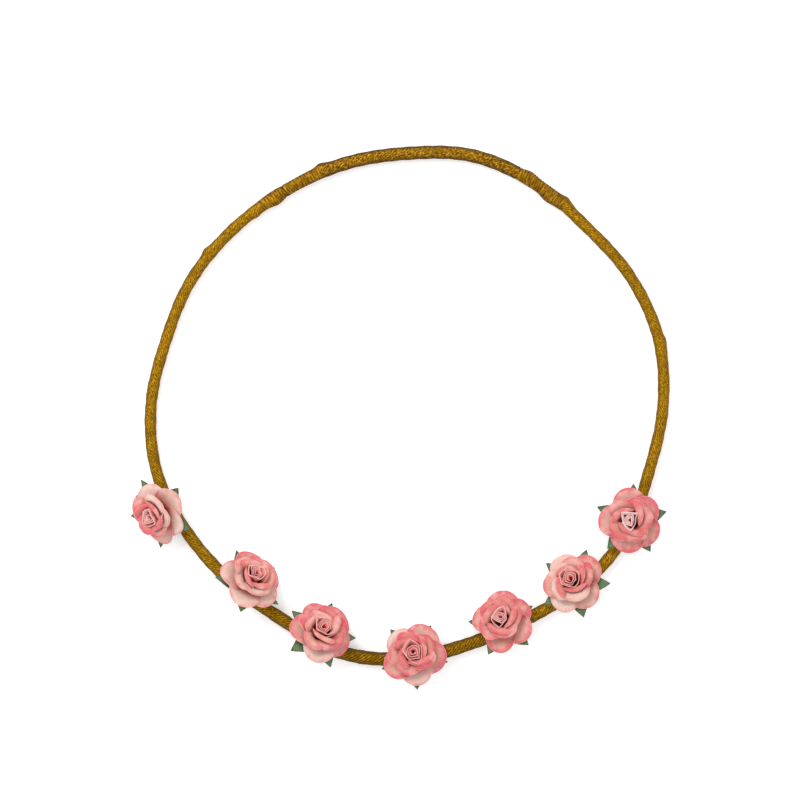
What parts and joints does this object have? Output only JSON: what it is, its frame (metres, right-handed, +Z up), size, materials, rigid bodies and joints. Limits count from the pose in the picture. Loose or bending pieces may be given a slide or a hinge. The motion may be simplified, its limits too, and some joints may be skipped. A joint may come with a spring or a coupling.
{
  "type": "flower crown",
  "caption": "Flower crown: a thread-covered cord with an elastic back, and paper roses with green calyxes on wire stems coiled round its front.",
  "frame": {"origin": "centre of the crown's outline, on the surface it lies on", "axes": "+Z up through the loop, the way the roses face; +Y towards the elastic back; -Y towards the roses"},
  "size_m": [0.1754, 0.1756, 0.0178],
  "materials": {
    "gold_thread": "satin",
    "gold_binding": "satin",
    "cotton_core": "matt",
    "rubber_core": "matt",
    "stem_paper": "matt",
    "sepal_paper": "matt",
    "petal_blush": "matt",
    "petal_pink": "matt",
    "bud_pink": "matt"
  },
  "bodies": {
    "band_left": {"cord_sleeve_left": "gold_thread", "cord_core_left": "cotton_core", "splice_binding_left": "gold_binding", "elastic_sleeve": "gold_thread", "elastic_core": "rubber_core"},
    "band_right": {"cord_sleeve_right": "gold_thread", "cord_core_right": "cotton_core", "splice_binding_right": "gold_binding"},
    "rose_1": {"rose_1_stem_wire": "stem_paper", "rose_1_calyx": "sepal_paper", "rose_1_outer_petals": "petal_blush", "rose_1_middle_petals": "petal_pink", "rose_1_inner_petals": "petal_pink", "rose_1_bud": "bud_pink"},
    "rose_2": {"rose_2_stem_wire": "stem_paper", "rose_2_calyx": "sepal_paper", "rose_2_outer_petals": "petal_blush", "rose_2_middle_petals": "petal_pink", "rose_2_inner_petals": "petal_pink", "rose_2_bud": "bud_pink"},
    "rose_3": {"rose_3_stem_wire": "stem_paper", "rose_3_calyx": "sepal_paper", "rose_3_outer_petals": "petal_blush", "rose_3_middle_petals": "petal_pink", "rose_3_inner_petals": "petal_pink", "rose_3_bud": "bud_pink"},
    "rose_4": {"rose_4_stem_wire": "stem_paper", "rose_4_calyx": "sepal_paper", "rose_4_outer_petals": "petal_blush", "rose_4_middle_petals": "petal_pink", "rose_4_inner_petals": "petal_pink", "rose_4_bud": "bud_pink"},
    "rose_5": {"rose_5_stem_wire": "stem_paper", "rose_5_calyx": "sepal_paper", "rose_5_outer_petals": "petal_blush", "rose_5_middle_petals": "petal_pink", "rose_5_inner_petals": "petal_pink", "rose_5_bud": "bud_pink"},
    "rose_6": {"rose_6_stem_wire": "stem_paper", "rose_6_calyx": "sepal_paper", "rose_6_outer_petals": "petal_blush", "rose_6_middle_petals": "petal_pink", "rose_6_inner_petals": "petal_pink", "rose_6_bud": "bud_pink"},
    "rose_7": {"rose_7_stem_wire": "stem_paper", "rose_7_calyx": "sepal_paper", "rose_7_outer_petals": "petal_blush", "rose_7_middle_petals": "petal_pink", "rose_7_inner_petals": "petal_pink", "rose_7_bud": "bud_pink"}
  },
  "joints": [
    {"name": "band_spread", "type": "hinge", "parent": "band_left", "child": "band_right", "pos_m": [0.02025, -0.0744, 0.00284], "axis": [0, 0, 1], "range_deg": [-8, 14], "stiffness_Nm_per_rad": 0.8, "deforming": ["elastic_core", "elastic_sleeve"]},
    {"name": "rose_1_roll", "type": "hinge", "parent": "band_left", "child": "rose_1", "pos_m": [-0.07378, -0.02896, 0.00284], "axis": [0.4778, -0.8785, 0], "range_deg": [-87, 13]},
    {"name": "rose_2_roll", "type": "hinge", "parent": "band_left", "child": "rose_2", "pos_m": [-0.05084, -0.05646, 0.00284], "axis": [0.7794, -0.6265, 0], "range_deg": [-10, 90]},
    {"name": "rose_3_roll", "type": "hinge", "parent": "band_left", "child": "rose_3", "pos_m": [-0.02683, -0.07263, 0.00284], "axis": [0.8689, -0.4949, 0], "range_deg": [-21, 79]},
    {"name": "rose_4_roll", "type": "hinge", "parent": "band_left", "child": "rose_4", "pos_m": [0.00499, -0.07808, 0.00284], "axis": [0.993, 0.118, 0], "range_deg": [-38, 62]},
    {"name": "rose_5_roll", "type": "hinge", "parent": "band_right", "child": "rose_5", "pos_m": [0.03461, -0.06889, 0.00284], "axis": [0.9095, 0.4157, 0], "range_deg": [-27, 73]},
    {"name": "rose_6_roll", "type": "hinge", "parent": "band_right", "child": "rose_6", "pos_m": [0.05812, -0.05559, 0.00284], "axis": [0.7893, 0.614, 0], "range_deg": [-28, 72]},
    {"name": "rose_7_roll", "type": "hinge", "parent": "band_right", "child": "rose_7", "pos_m": [0.07582, -0.03372, 0.00284], "axis": [0.4144, 0.9101, 0], "range_deg": [-42, 58]}
  ]
}
